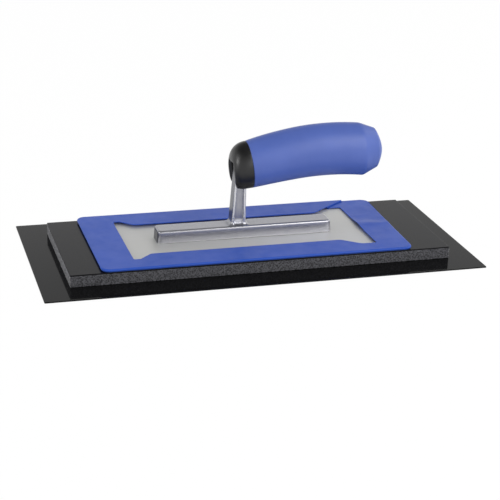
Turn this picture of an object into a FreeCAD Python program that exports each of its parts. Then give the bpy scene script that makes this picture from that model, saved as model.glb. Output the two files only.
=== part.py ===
import FreeCAD, Part
import math
import os

# Smoothing trowel: a steel trowel plate with a cast shank and a hand grip, held in a moulded carrier
# that is bonded to a foam pad with a thin flexible blade underneath.
# Millimetres. Origin: centre of the blade's underside. +X along the blade, +Y across it, +Z up.
# Blade, pad, plate, shank and handle are the same on both sides of the plane Y = 0; the carrier's right
# end is not, because its end strip is joined to the frame at the front only.

V = FreeCAD.Vector
UP = V(0, 0, 1)

# ---- driving dimensions ----------------------------------------------------------------------------
# blade and pad, from the bottom up
BLADE_LENGTH = 368.0
BLADE_WIDTH = 174.0
BLADE_THICKNESS = 1.0
BLADE_FILM_THICKNESS = 0.25
FILM_INSET = 1.5
PAD_LENGTH = 320.5
PAD_WIDTH = 124.0
FOAM_THICKNESS = 9.0
SHEET_THICKNESS = 1.0

# carrier, a little off the pad's centre along X; the plate, the bar and the window share its centre
CARRIER_CENTRE_X = -2.7
CARRIER_LENGTH = 264.5
CARRIER_FILM_THICKNESS = 0.15
CARRIER_THICKNESS = 2.8
CARRIER_OVERHANG = 1.3
CARRIER_CORNER_RADIUS = 7.0
CARRIER_TOP_FILLET = 1.1
CARRIER_END_LEAN = 4.7

# bow-tie window in the carrier
WINDOW_LENGTH = 206.5
WINDOW_WAIST_WIDTH = 69.4
WINDOW_LEFT_FLARE_WIDTH = 89.4
WINDOW_RIGHT_FLARE_WIDTH = 93.6
LEFT_FLARE_FLAT = 5.5
LEFT_FLARE_RUN = 10.5
RIGHT_FLARE_FLAT = 13.0
RIGHT_FLARE_RUN = 15.0
FLARE_TIP_RADIUS = 1.8
FLARE_BEND_RADIUS = 9.0

# lowered end strip with its thumb ramp
STEP_DROP = 1.37
STEP_FROM_FLARE = 3.0
STEP_MITRE_RUN = 31.8
STRIP_LEVEL_Y_MARGIN = 13.6
RAMP_HEIGHT = 1.3
RAMP_TIP_HEIGHT = 0.35
RAMP_BASE_WIDTH = 38.0
RAMP_TIP_WIDTH = 15.0

# steel plate in the pocket under the carrier
PLATE_LENGTH = 228.0
PLATE_WIDTH = 106.0
PLATE_THICKNESS = 0.6
POCKET_SIDE_CLEARANCE = 0.4
POCKET_ROOF_CLEARANCE = 0.05

# foot bar of the shank
BAR_LENGTH = 152.4
BAR_WIDTH = 19.0
BAR_HEIGHT = 10.7
BAR_DRAFT = 0.8
BAR_CORNER_RADIUS = 4.0
BAR_TOP_FILLET = 1.7

# rivets from the plate into the bar
RIVET_COUNT = 5
RIVET_PITCH = 33.0
RIVET_DIAMETER = 4.0
RIVET_HEAD_DIAMETER = 5.4
RIVET_DEPTH = 6.5
RIVET_CLEARANCE = 0.05

# stem of the shank: upright on its right side, leaning in on its left
STEM_RIGHT_X = -2.3
STEM_FOOT_WIDTH = 12.5
STEM_HEAD_WIDTH = 9.0
STEM_FOOT_DEPTH = 12.4
STEM_HEAD_DEPTH = 10.0
STEM_CORNER_RADIUS = 1.0
STEM_TOP_Z = 77.6
STEM_FLARE_RADIUS = 3.6
FLANGE_WIDTH = 2.2
WEB_RECESS = 2.4
WEB_RUNOUT_RADIUS = 8.0

# tang inside the handle
TANG_HEIGHT = 10.0
TANG_TIP_HEIGHT = 7.5
TANG_WIDTH = 8.6
TANG_TIP_WIDTH = 7.0
TANG_REACH = 66.0

# handle: an upright oval carried along an arched line that starts at the nose joint
HANDLE_TILT_DEGREES = 8.0
JOINT_X = 0.6
JOINT_Z = 73.75
GRIP_LENGTH = 98.4
GRIP_HALF_HEIGHT = 20.25
GRIP_FULL_HALF_HEIGHT = 22.0
GRIP_END_HALF_HEIGHT = 22.95
GRIP_HALF_WIDTH = 16.6
GRIP_FULL_HALF_WIDTH = 17.6
GRIP_SWELL_LENGTH = 24.0
GRIP_ARCH_RISE = 1.85
GRIP_ARCH_PEAK = 40.0
GRIP_END_FALL = 5.6
GRIP_STATIONS = 7
END_TILT_DEGREES = 5.0
END_TAPER_LENGTH = 13.0
END_FALL = 1.15
END_HALF_HEIGHT = 17.3
END_HALF_WIDTH = 12.4
END_BULGE = 5.0
END_DOME_SHARES = (1.0, 0.9, 0.75, 0.55, 0.35)
SLEEVE_WALL = 3.0
SLEEVE_END_WALL = 4.5
NOSE_LENGTH = 15.4
NOSE_TOP_TIP_SHARE = 0.15
NOSE_TOP_ROUNDNESS = 2.3
NOSE_BOTTOM_TIP_SHARE = 0.72
NOSE_BOTTOM_ROUNDNESS = 3.0
NOSE_SIDE_TIP_SHARE = 0.54
NOSE_SIDE_ROUNDNESS = 2.3
NOSE_STATIONS = 9

# slot in the nose and cavity for the tang
SLOT_CLEARANCE = 1.1
SLOT_TOP_CLEARANCE = 0.6
SLOT_MOUTH_FLARE = 1.8
TANG_CLEARANCE = 0.2

# screw that holds the handle on the tang
SCREW_DIAMETER = 5.0
SCREW_HEAD_DIAMETER = 9.0
SCREW_HEAD_HEIGHT = 3.5
SCREW_ENGAGEMENT = 16.0
SCREW_CLEARANCE = 0.4
SCREW_THREAD_CLEARANCE = 0.05
DRIVE_RADIUS = 1.7
DRIVE_DEPTH = 2.0
WASHER_DIAMETER = 12.0
WASHER_THICKNESS = 1.0
COUNTERBORE_DIAMETER = 13.0
CORE_SEAT_LENGTH = 18.0
PLUG_LENGTH = 7.0
PLUG_CLEARANCE = 0.05
PLUG_RECESS = 0.3

# ---- levels and places that follow from them -------------------------------------------------------
BLADE_TOP = BLADE_THICKNESS
FOAM_BOTTOM = BLADE_TOP + BLADE_FILM_THICKNESS
SHEET_BOTTOM = FOAM_BOTTOM + FOAM_THICKNESS
SHEET_TOP = SHEET_BOTTOM + SHEET_THICKNESS
CARRIER_BOTTOM = SHEET_TOP + CARRIER_FILM_THICKNESS
CARRIER_TOP = CARRIER_BOTTOM + CARRIER_THICKNESS
PLATE_TOP = SHEET_TOP + PLATE_THICKNESS
POCKET_ROOF = PLATE_TOP + POCKET_ROOF_CLEARANCE
BAR_TOP = PLATE_TOP + BAR_HEIGHT
CARRIER_LEFT = CARRIER_CENTRE_X - CARRIER_LENGTH / 2
CARRIER_RIGHT = CARRIER_CENTRE_X + CARRIER_LENGTH / 2
CARRIER_HALF_WIDTH = PAD_WIDTH / 2 + CARRIER_OVERHANG
WINDOW_LEFT = CARRIER_CENTRE_X - WINDOW_LENGTH / 2
WINDOW_RIGHT = CARRIER_CENTRE_X + WINDOW_LENGTH / 2
CUT_MARGIN = 20.0

TILT = math.radians(HANDLE_TILT_DEGREES)
END_TILT = math.radians(END_TILT_DEGREES)
AXIS = V(math.cos(TILT), 0, math.sin(TILT))
RISE = V(-math.sin(TILT), 0, math.cos(TILT))


def save(node, solids):
    """Write one node: a single solid, or several separate ones as a compound."""
    shape = solids[0] if len(solids) == 1 else Part.makeCompound(solids)
    shape.exportStep("parts/" + node + ".step")
    print(node, len(solids), "solid(s), valid:", shape.isValid(), "volume mm3:", round(shape.Volume, 1))


def slab(length, width, bottom, thickness, centre_x=0.0):
    """Flat rectangular sheet, centred on Y."""
    return Part.makeBox(length, width, thickness, V(centre_x - length / 2, -width / 2, bottom))


def rounded_outline(corners, z):
    """Closed wire through (x, y, radius) corners: straight runs joined by tangent arcs."""
    points = [V(x, y, z) for x, y, radius in corners]
    count = len(points)
    ends = []
    for i, (x, y, radius) in enumerate(corners):
        back = (points[i - 1] - points[i]).normalize()
        ahead = (points[(i + 1) % count] - points[i]).normalize()
        half_angle = back.getAngle(ahead) / 2
        reach = radius / math.tan(half_angle)
        middle = (back + ahead).normalize() * (radius / math.sin(half_angle) - radius)
        ends.append((points[i] + back * reach, points[i] + middle, points[i] + ahead * reach))
    edges = []
    for i, (start, middle, end) in enumerate(ends):
        edges.append(Part.Arc(start, middle, end).toShape())
        following = ends[(i + 1) % count][0]
        edges.append(Part.makeLine(end, following))
    return Part.Wire(edges)


def prism(corners, bottom, height):
    """Solid prism on a rounded outline."""
    return Part.Face(rounded_outline(corners, bottom)).extrude(UP * height)


def rectangle(left, right, half_width, radius):
    """Corners of a rectangle with one corner radius, anticlockwise."""
    return [(left, -half_width, radius), (right, -half_width, radius),
            (right, half_width, radius), (left, half_width, radius)]


def edges_at_height(shape, z, tolerance=0.01):
    """Edges that lie wholly in the level plane at z."""
    found = []
    for edge in shape.Edges:
        box = edge.BoundBox
        if abs(box.ZMin - z) < tolerance and abs(box.ZMax - z) < tolerance:
            found.append(edge)
    return found


# ---- blade, films, foam and backing sheet ----------------------------------------------------------
def make_pad_layers():
    save("smoothing_blade", [slab(BLADE_LENGTH, BLADE_WIDTH, 0.0, BLADE_THICKNESS)])
    film_length = PAD_LENGTH - 2 * FILM_INSET
    film_width = PAD_WIDTH - 2 * FILM_INSET
    save("blade_adhesive_film", [slab(film_length, film_width, BLADE_TOP, BLADE_FILM_THICKNESS)])
    save("foam_pad", [slab(PAD_LENGTH, PAD_WIDTH, FOAM_BOTTOM, FOAM_THICKNESS)])
    save("pad_backing_sheet", [slab(PAD_LENGTH, PAD_WIDTH, SHEET_BOTTOM, SHEET_THICKNESS)])


# ---- carrier ---------------------------------------------------------------------------------------
def end_x(y):
    """X of the carrier's right end at a place across it; that end leans out towards the back."""
    return CARRIER_RIGHT + CARRIER_END_LEAN * y / (2 * CARRIER_HALF_WIDTH)


def window_corners():
    """Bow-tie outline: a straight waist that flares out to both ends."""
    waist = WINDOW_WAIST_WIDTH / 2
    left = WINDOW_LEFT_FLARE_WIDTH / 2
    right = WINDOW_RIGHT_FLARE_WIDTH / 2
    left_flat = WINDOW_LEFT + LEFT_FLARE_FLAT
    left_waist = left_flat + LEFT_FLARE_RUN
    right_flat = WINDOW_RIGHT - RIGHT_FLARE_FLAT
    right_waist = right_flat - RIGHT_FLARE_RUN
    front = [(WINDOW_LEFT, -left, FLARE_TIP_RADIUS), (left_flat, -left, FLARE_TIP_RADIUS),
             (left_waist, -waist, FLARE_BEND_RADIUS / 2), (right_waist, -waist, FLARE_BEND_RADIUS),
             (right_flat, -right, FLARE_BEND_RADIUS), (WINDOW_RIGHT, -right, FLARE_TIP_RADIUS)]
    back = [(x, -y, radius) for x, y, radius in reversed(front)]
    return front + back


def end_strip_cutter():
    """Wedge that lowers the end strip: deepest at the free back end, nothing at the front corner."""
    waist = WINDOW_WAIST_WIDTH / 2
    start_x = WINDOW_RIGHT - RIGHT_FLARE_FLAT - RIGHT_FLARE_RUN + STEP_FROM_FLARE
    back_y = CARRIER_HALF_WIDTH + CUT_MARGIN
    front_y = -CARRIER_HALF_WIDTH + STRIP_LEVEL_Y_MARGIN
    mitre_run = STEP_MITRE_RUN * (back_y - waist) / (CARRIER_HALF_WIDTH - waist)
    outline = [V(start_x, front_y, 0), V(CARRIER_RIGHT + CUT_MARGIN, front_y, 0),
               V(CARRIER_RIGHT + CUT_MARGIN, back_y, 0), V(start_x + mitre_run, back_y, 0),
               V(start_x, waist, 0)]
    column = Part.Face(Part.makePolygon(outline + [outline[0]])).extrude(UP * (CARRIER_TOP + CUT_MARGIN))
    slope = STEP_DROP / (CARRIER_HALF_WIDTH - front_y)
    back_z = CARRIER_TOP - slope * (back_y - front_y)
    roof = CARRIER_TOP + CUT_MARGIN
    side = [V(start_x - CUT_MARGIN, front_y, CARRIER_TOP), V(start_x - CUT_MARGIN, back_y, back_z),
            V(start_x - CUT_MARGIN, back_y, roof), V(start_x - CUT_MARGIN, front_y, roof)]
    run = CARRIER_LENGTH / 2
    wedge = Part.Face(Part.makePolygon(side + [side[0]])).extrude(V(run, 0, 0))
    return column.common(wedge), slope


def thumb_ramp(slope):
    """Roof-shaped ramp on the end strip: wide and high at the window, narrow and low at the outer edge."""
    front_y = -CARRIER_HALF_WIDTH + STRIP_LEVEL_Y_MARGIN
    sections = []
    for x, width, height in ((WINDOW_RIGHT, RAMP_BASE_WIDTH, RAMP_HEIGHT),
                             (end_x(0.0) - CARRIER_TOP_FILLET, RAMP_TIP_WIDTH, RAMP_TIP_HEIGHT)):
        feet = []
        for y in (-width / 2, width / 2):
            feet.append(V(x, y, CARRIER_TOP - slope * (y - front_y)))
        ridge = V(x, 0, CARRIER_TOP + slope * front_y + height)
        below = [V(x, width / 2, CARRIER_BOTTOM + CARRIER_THICKNESS / 2),
                 V(x, -width / 2, CARRIER_BOTTOM + CARRIER_THICKNESS / 2)]
        sections.append(Part.makePolygon([feet[0], ridge, feet[1]] + below + [feet[0]]))
    return Part.makeLoft(sections, True, True)


def make_carrier():
    half = CARRIER_HALF_WIDTH
    outline = [(CARRIER_LEFT, -half, CARRIER_CORNER_RADIUS), (end_x(-half), -half, CARRIER_CORNER_RADIUS),
               (end_x(half), half, CARRIER_CORNER_RADIUS), (CARRIER_LEFT, half, CARRIER_CORNER_RADIUS)]
    frame = prism(outline, CARRIER_BOTTOM, CARRIER_THICKNESS)
    frame = frame.makeFillet(CARRIER_TOP_FILLET, edges_at_height(frame, CARRIER_TOP))
    cutter, slope = end_strip_cutter()
    frame = frame.cut(cutter).fuse(thumb_ramp(slope))
    frame = frame.cut(prism(window_corners(), 0.0, CARRIER_TOP + CUT_MARGIN))
    pocket = slab(PLATE_LENGTH + 2 * POCKET_SIDE_CLEARANCE, PLATE_WIDTH + 2 * POCKET_SIDE_CLEARANCE,
                  0.0, POCKET_ROOF, CARRIER_CENTRE_X)
    frame = frame.cut(pocket)
    save("carrier_frame", [frame.removeSplitter()])

    film = [(CARRIER_LEFT + FILM_INSET, -half + FILM_INSET, CARRIER_CORNER_RADIUS),
            (end_x(-half) - FILM_INSET, -half + FILM_INSET, CARRIER_CORNER_RADIUS),
            (end_x(half) - FILM_INSET, half - FILM_INSET, CARRIER_CORNER_RADIUS),
            (CARRIER_LEFT + FILM_INSET, half - FILM_INSET, CARRIER_CORNER_RADIUS)]
    ring = prism(film, SHEET_TOP, CARRIER_FILM_THICKNESS).cut(pocket)
    save("carrier_adhesive_film", [ring])


# ---- steel plate and its rivets --------------------------------------------------------------------
def rivet_places():
    first = CARRIER_CENTRE_X - RIVET_PITCH * (RIVET_COUNT - 1) / 2
    return [first + RIVET_PITCH * i for i in range(RIVET_COUNT)]


def rivet(x, clearance=0.0):
    """Countersunk rivet: a cone through the plate, then a round shank up into the bar."""
    radius = RIVET_DIAMETER / 2 + clearance
    head_radius = RIVET_HEAD_DIAMETER / 2 + clearance
    head = Part.makeCone(head_radius, radius, PLATE_THICKNESS, V(x, 0, SHEET_TOP))
    shank = Part.makeCylinder(radius, RIVET_DEPTH, V(x, 0, PLATE_TOP))
    return head.fuse(shank).removeSplitter()


def make_plate_and_rivets():
    plate = slab(PLATE_LENGTH, PLATE_WIDTH, SHEET_TOP, PLATE_THICKNESS, CARRIER_CENTRE_X)
    for x in rivet_places():
        plate = plate.cut(rivet(x, RIVET_CLEARANCE))
    save("steel_plate", [plate])
    save("plate_rivets", [rivet(x) for x in rivet_places()])


# ---- shank -----------------------------------------------------------------------------------------
def foot_bar():
    """Long bar with drafted sides and softened top edges."""
    left = CARRIER_CENTRE_X - BAR_LENGTH / 2
    right = CARRIER_CENTRE_X + BAR_LENGTH / 2
    foot = rounded_outline(rectangle(left, right, BAR_WIDTH / 2, BAR_CORNER_RADIUS), PLATE_TOP)
    top = rounded_outline(rectangle(left + BAR_DRAFT, right - BAR_DRAFT, BAR_WIDTH / 2 - BAR_DRAFT,
                                    BAR_CORNER_RADIUS - BAR_DRAFT), BAR_TOP)
    bar = Part.makeLoft([foot, top], True, True)
    return bar.makeFillet(BAR_TOP_FILLET, edges_at_height(bar, BAR_TOP))


def stem_block(inset, half_depths):
    """Block from the bar to the stem's head whose sides lie inset inside the stem's left and right sides."""
    sections = []
    for width, half_depth, z in ((STEM_FOOT_WIDTH, half_depths[0], BAR_TOP - BAR_TOP_FILLET),
                                 (STEM_HEAD_WIDTH, half_depths[1], STEM_TOP_Z)):
        corners = rectangle(STEM_RIGHT_X - width + inset, STEM_RIGHT_X - inset, half_depth,
                            STEM_CORNER_RADIUS)
        sections.append(rounded_outline(corners, z))
    return Part.makeLoft(sections, True, True)


def stem():
    """Upright stem that narrows towards the handle."""
    return stem_block(0.0, (STEM_FOOT_DEPTH / 2, STEM_HEAD_DEPTH / 2))


def web_recess(side):
    """Cutter for the channel between the stem's two flanges, on one side; an arc runs it out at the foot."""
    web_half_foot = STEM_FOOT_DEPTH / 2 - WEB_RECESS
    web_half_head = STEM_HEAD_DEPTH / 2 - WEB_RECESS
    left = STEM_RIGHT_X - STEM_FOOT_WIDTH
    outer = STEM_FOOT_DEPTH
    turn = math.acos(1 - WEB_RECESS / WEB_RUNOUT_RADIUS)

    def arc_point(angle):
        y = web_half_foot + WEB_RUNOUT_RADIUS * (1 - math.cos(angle))
        z = BAR_TOP + WEB_RUNOUT_RADIUS * (math.sin(turn) - math.sin(angle))
        return V(left, side * y, z)

    runout = Part.Arc(arc_point(0.0), arc_point(turn / 2), arc_point(turn)).toShape()
    others = [arc_point(turn), V(left, side * outer, BAR_TOP), V(left, side * outer, STEM_TOP_Z),
              V(left, side * web_half_head, STEM_TOP_Z), arc_point(0.0)]
    profile = Part.Wire([runout] + Part.makePolygon(others).Edges)
    sheet = Part.Face(profile).extrude(V(STEM_FOOT_WIDTH, 0, 0))
    return sheet.common(stem_block(FLANGE_WIDTH, (outer, outer)))


def tang_start():
    """Point on the tang's axis where it crosses the middle of the stem."""
    return V(STEM_RIGHT_X - STEM_HEAD_WIDTH / 2, 0, STEM_TOP_Z - TANG_HEIGHT / 2)


def tang_direction():
    """Unit vector from the stem's head to the middle of the handle's end face."""
    return (handle_point(GRIP_LENGTH + END_TAPER_LENGTH) - tang_start()).normalize()


def tapered_bar(start, end, start_size, end_size):
    """Four-sided tapered bar between two points of the plane Y = 0; sizes are (width in Y, height)."""
    along = (end - start).normalize()
    normal = V(-along.z, 0, along.x)
    wires = []
    for point, (width, height) in ((start, start_size), (end, end_size)):
        side = V(0, width / 2, 0)
        rise = normal * (height / 2)
        ring = [point - side - rise, point + side - rise, point + side + rise, point - side + rise]
        wires.append(Part.makePolygon(ring + [ring[0]]))
    return Part.makeLoft(wires, True, True)


def tang(clearance=0.0):
    start = tang_start()
    end = start + tang_direction() * (TANG_REACH + clearance)
    wide = (TANG_WIDTH + 2 * clearance, TANG_HEIGHT + 2 * clearance)
    tip = (TANG_TIP_WIDTH + 2 * clearance, TANG_TIP_HEIGHT + 2 * clearance)
    return tapered_bar(start, end, wide, tip)


def stem_foot_edges(shape):
    """Edges where the stem's narrow sides meet the top of the bar."""
    found = []
    for edge in edges_at_height(shape, BAR_TOP):
        box = edge.BoundBox
        middle_x = STEM_RIGHT_X - STEM_FOOT_WIDTH / 2
        near_side = abs(abs(box.Center.x - middle_x) - STEM_FOOT_WIDTH / 2) < FLANGE_WIDTH
        if near_side and box.XLength < FLANGE_WIDTH and box.YLength < STEM_FOOT_DEPTH:
            found.append(edge)
    return found


def make_shank():
    shank = foot_bar().fuse([stem()]).removeSplitter()
    shank = shank.makeFillet(STEM_FLARE_RADIUS, stem_foot_edges(shank))
    for side in (-1, 1):
        shank = shank.cut(web_recess(side))
    shank = shank.fuse(tang())
    for x in rivet_places():
        shank = shank.cut(rivet(x, RIVET_CLEARANCE))
    bore_depth = SCREW_ENGAGEMENT + SCREW_CLEARANCE
    bore = Part.makeCylinder(SCREW_DIAMETER / 2 + SCREW_THREAD_CLEARANCE, bore_depth,
                             tang_start() + tang_direction() * TANG_REACH, tang_direction() * -1)
    save("shank_casting", [shank.cut(bore).removeSplitter()])


# ---- handle ----------------------------------------------------------------------------------------
def arch(s):
    """Height of the handle's middle line above its tilted axis at s: up to a peak, then down."""
    if s <= GRIP_ARCH_PEAK:
        return GRIP_ARCH_RISE * (1 - ((GRIP_ARCH_PEAK - s) / GRIP_ARCH_PEAK) ** 2)
    fall = (GRIP_ARCH_RISE + GRIP_END_FALL) / (GRIP_LENGTH - GRIP_ARCH_PEAK) ** 2
    if s <= GRIP_LENGTH:
        return GRIP_ARCH_RISE - fall * (s - GRIP_ARCH_PEAK) ** 2
    return -GRIP_END_FALL - END_FALL * (s - GRIP_LENGTH) / END_TAPER_LENGTH


def section_tilt(s):
    """Lean of the handle's section at s: the handle's tilt at the joint, a little less at the end."""
    return TILT + (END_TILT - TILT) * min(max(s, 0.0), GRIP_LENGTH) / GRIP_LENGTH


def section_rise(s):
    """Unit vector up along the section at s."""
    return V(-math.sin(section_tilt(s)), 0, math.cos(section_tilt(s)))


def handle_point(s, height=0.0):
    """Point on the handle's middle line, or above it in its section, in the plane Y = 0."""
    return V(JOINT_X, 0, JOINT_Z) + AXIS * s + RISE * arch(max(s, 0.0)) + section_rise(s) * height


def grip_half_sizes(s):
    """Half height and half width of the grip's oval at s."""
    swell = 1 - math.exp(-s / GRIP_SWELL_LENGTH)
    spread = (GRIP_END_HALF_HEIGHT - GRIP_FULL_HALF_HEIGHT) * s / GRIP_LENGTH
    half_height = GRIP_HALF_HEIGHT + (GRIP_FULL_HALF_HEIGHT - GRIP_HALF_HEIGHT) * swell + spread
    half_width = GRIP_HALF_WIDTH + (GRIP_FULL_HALF_WIDTH - GRIP_HALF_WIDTH) * swell
    return half_height, half_width


def oval(centre, half_height, half_width, rise=RISE):
    """Upright ellipse, at right angles to the handle's tilted axis unless its rise says otherwise."""
    top = centre + rise * half_height
    side = centre + V(0, half_width, 0)
    if half_height > half_width:
        return Part.Wire([Part.Ellipse(top, side, centre).toShape()])
    lying = Part.Ellipse(centre - V(0, half_width, 0), top, centre)
    return Part.Wire([Part.ArcOfEllipse(lying, math.pi / 2, math.pi * 5 / 2).toShape()])


def grip_body(inset, length):
    """Grip from the joint to length, every section smaller than the outer one by inset."""
    sections = []
    for i in range(GRIP_STATIONS):
        s = length * i / (GRIP_STATIONS - 1)
        half_height, half_width = grip_half_sizes(s)
        sections.append(oval(handle_point(s), half_height - inset, half_width - inset, section_rise(s)))
    return Part.makeLoft(sections, True, False)


def end_cap():
    """Taper at the grip's end, with a shallow dome on it."""
    rise = section_rise(GRIP_LENGTH)
    outwards = V(rise.z, 0, -rise.x)
    rim_centre = handle_point(GRIP_LENGTH + END_TAPER_LENGTH)
    half_height, half_width = grip_half_sizes(GRIP_LENGTH)
    start = oval(handle_point(GRIP_LENGTH), half_height, half_width, rise)
    sections = []
    for share in END_DOME_SHARES:
        centre = rim_centre + outwards * dome_height(share)
        sections.append(oval(centre, END_HALF_HEIGHT * share, END_HALF_WIDTH * share, rise))
    return Part.makeLoft([start, sections[0]], True, True).fuse(Part.makeLoft(sections, True, False))


def dome_height(share):
    """Height of the end's dome over its rim, at a share of the rim's size: a parabola."""
    return END_BULGE * (1 - share ** 2)


def dome(share, tip_share, roundness):
    """Superellipse from 1 at the joint (share 0) down to tip_share at the tip (share 1)."""
    return tip_share + (1 - tip_share) * (1 - share ** roundness) ** (1 / roundness)


def nose_body():
    """Domed nose: its top falls away early, its underside stays level and turns up sharply at the tip."""
    half_height, half_width = grip_half_sizes(0.0)
    sections = []
    for i in range(NOSE_STATIONS):
        share = math.sin(math.pi / 2 * i / (NOSE_STATIONS - 1))
        above = half_height * dome(share, NOSE_TOP_TIP_SHARE, NOSE_TOP_ROUNDNESS)
        below = half_height * dome(share, NOSE_BOTTOM_TIP_SHARE, NOSE_BOTTOM_ROUNDNESS)
        width = half_width * dome(share, NOSE_SIDE_TIP_SHARE, NOSE_SIDE_ROUNDNESS)
        centre = handle_point(0.0, (above - below) / 2) - AXIS * (NOSE_LENGTH * share)
        sections.append(oval(centre, (above + below) / 2, width))
    return Part.makeLoft(sections, True, False)


def nose_slot():
    """Slot open to the front of the nose and downwards, in which the stem stands; its mouth flares."""
    half = STEM_HEAD_DEPTH / 2 + SLOT_CLEARANCE
    base = handle_point(0.0) - RISE * (2 * GRIP_HALF_HEIGHT)
    left = -NOSE_LENGTH - CUT_MARGIN
    throat = -NOSE_LENGTH + SLOT_MOUTH_FLARE
    right = (V(STEM_RIGHT_X, 0, STEM_TOP_Z) - base).dot(AXIS) + SLOT_CLEARANCE
    stem_top_left = V(STEM_RIGHT_X - STEM_HEAD_WIDTH, 0, STEM_TOP_Z)
    height = (stem_top_left - base).dot(RISE) + SLOT_TOP_CLEARANCE
    wide = half + SLOT_MOUTH_FLARE + CUT_MARGIN
    plan = [(left, -wide), (throat, -half), (right, -half), (right, half), (throat, half), (left, wide)]
    ring = [base + AXIS * s + V(0, y, 0) for s, y in plan]
    return Part.Face(Part.makePolygon(ring + [ring[0]])).extrude(RISE * height)


def screw_line(s):
    """Point on the screw's axis, s from the tip of the tang outwards."""
    return tang_start() + tang_direction() * (TANG_REACH + s)


def end_distance():
    """Distance along the screw's axis from the tang's tip to the lowest edge of the hole in the dome."""
    hole_share = COUNTERBORE_DIAMETER / 2 / END_HALF_WIDTH
    rim = (handle_point(GRIP_LENGTH + END_TAPER_LENGTH) - tang_start()).Length
    return rim + dome_height(hole_share) - TANG_REACH


def make_handle():
    along = tang_direction()
    outer = grip_body(0.0, GRIP_LENGTH).fuse(end_cap())
    inner = grip_body(SLEEVE_WALL, GRIP_LENGTH + END_TAPER_LENGTH - SLEEVE_END_WALL - SLEEVE_WALL)
    reach = end_distance()
    counterbore = Part.makeCylinder(COUNTERBORE_DIAMETER / 2, reach - CORE_SEAT_LENGTH + CUT_MARGIN,
                                    screw_line(CORE_SEAT_LENGTH), along)
    bore = Part.makeCylinder(SCREW_DIAMETER / 2 + SCREW_CLEARANCE, CORE_SEAT_LENGTH + SCREW_CLEARANCE,
                             screw_line(-SCREW_CLEARANCE), along)
    sleeve = outer.cut(inner).cut(counterbore)
    core = nose_body().fuse(inner).cut(nose_slot()).cut(tang(TANG_CLEARANCE)).cut(counterbore).cut(bore)
    save("grip_sleeve", [sleeve.removeSplitter()])
    save("handle_core", [core.removeSplitter()])

    washer = Part.makeCylinder(WASHER_DIAMETER / 2, WASHER_THICKNESS, screw_line(CORE_SEAT_LENGTH), along)
    hole = Part.makeCylinder(SCREW_DIAMETER / 2 + SCREW_CLEARANCE / 2, WASHER_THICKNESS,
                             screw_line(CORE_SEAT_LENGTH), along)
    save("screw_washer", [washer.cut(hole)])

    head_at = CORE_SEAT_LENGTH + WASHER_THICKNESS
    head = Part.makeCylinder(SCREW_HEAD_DIAMETER / 2, SCREW_HEAD_HEIGHT, screw_line(head_at), along)
    shank = Part.makeCylinder(SCREW_DIAMETER / 2, head_at + SCREW_ENGAGEMENT,
                              screw_line(-SCREW_ENGAGEMENT), along)
    drive = Part.makeCylinder(DRIVE_RADIUS, DRIVE_DEPTH,
                              screw_line(head_at + SCREW_HEAD_HEIGHT - DRIVE_DEPTH), along)
    save("handle_screw", [head.fuse(shank).removeSplitter().cut(drive)])

    plug_start = reach - PLUG_RECESS - PLUG_LENGTH
    plug = Part.makeCylinder(COUNTERBORE_DIAMETER / 2 - PLUG_CLEARANCE, PLUG_LENGTH,
                             screw_line(plug_start), along)
    save("handle_end_plug", [plug])


def main():
    os.makedirs("parts", exist_ok=True)
    make_pad_layers()
    make_carrier()
    make_plate_and_rivets()
    make_shank()
    make_handle()


main()
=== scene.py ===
# %% [markdown]
# # A smoothing trowel on a foam pad
#
# The tool is a steel trowel plate with a cast aluminium shank and a moulded hand grip. A blue plastic
# carrier holds the plate on a foam pad, and a thin glossy blade under the foam does the smoothing.
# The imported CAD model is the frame: every piece built here takes its place from it, in metres.

# %% Load the frame
import math
import bmesh
import bpy
import numpy as np
from mathutils import Matrix, Vector


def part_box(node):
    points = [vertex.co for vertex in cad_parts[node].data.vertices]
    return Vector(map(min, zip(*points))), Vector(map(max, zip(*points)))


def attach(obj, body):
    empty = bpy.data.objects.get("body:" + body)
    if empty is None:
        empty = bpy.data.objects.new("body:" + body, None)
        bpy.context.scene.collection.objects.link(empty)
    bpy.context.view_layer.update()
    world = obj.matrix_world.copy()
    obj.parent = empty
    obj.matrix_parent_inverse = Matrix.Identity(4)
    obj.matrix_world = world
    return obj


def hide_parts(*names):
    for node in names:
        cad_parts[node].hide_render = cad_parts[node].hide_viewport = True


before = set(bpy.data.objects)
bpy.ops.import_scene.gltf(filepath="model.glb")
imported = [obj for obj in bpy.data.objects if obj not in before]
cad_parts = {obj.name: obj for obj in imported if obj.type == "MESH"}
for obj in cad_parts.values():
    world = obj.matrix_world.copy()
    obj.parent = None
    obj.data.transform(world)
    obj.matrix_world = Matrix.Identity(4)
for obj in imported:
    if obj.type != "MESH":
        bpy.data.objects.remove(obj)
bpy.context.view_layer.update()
MM = 0.001
print("CAD nodes:", sorted(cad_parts))

# %% [markdown]
# ## Small tools
#
# Colours are written as the sRGB hex that a paint chart would give. Cycles works with linear light,
# so one function converts them. Another reads a CAD node's place in millimetres.

# %% Colour and size helpers
def linear(hex_colour):
    """Linear RGBA of an sRGB hex colour such as "8f9aa3": the sRGB curve, channel by channel."""
    channels = np.array([int(hex_colour[i:i + 2], 16) for i in (0, 2, 4)]) / 255
    curve = np.where(channels <= 0.04045, channels / 12.92, ((channels + 0.055) / 1.055) ** 2.4)
    return (*curve.tolist(), 1.0)


def span(node):
    """Lowest and highest corner of a CAD node, in millimetres."""
    low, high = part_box(node)
    return np.array(low) / MM, np.array(high) / MM


def with_height(plan, z):
    """Points (..., 3) from places (..., 2) and a height or an array of heights."""
    return np.concatenate([plan, np.broadcast_to(z, plan.shape[:-1])[..., None]], axis=-1)


print("blade from", *span("smoothing_blade"), "mm")

# %% [markdown]
# A new piece is a stack of closed loops of points: an array of shape (loops, points, 3). The skin
# joins each loop to the next with quads, and ends in flat faces or closes as a ring. Blender's
# primitives could be pushed into shape instead, but then no number would say what the shape is.

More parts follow.
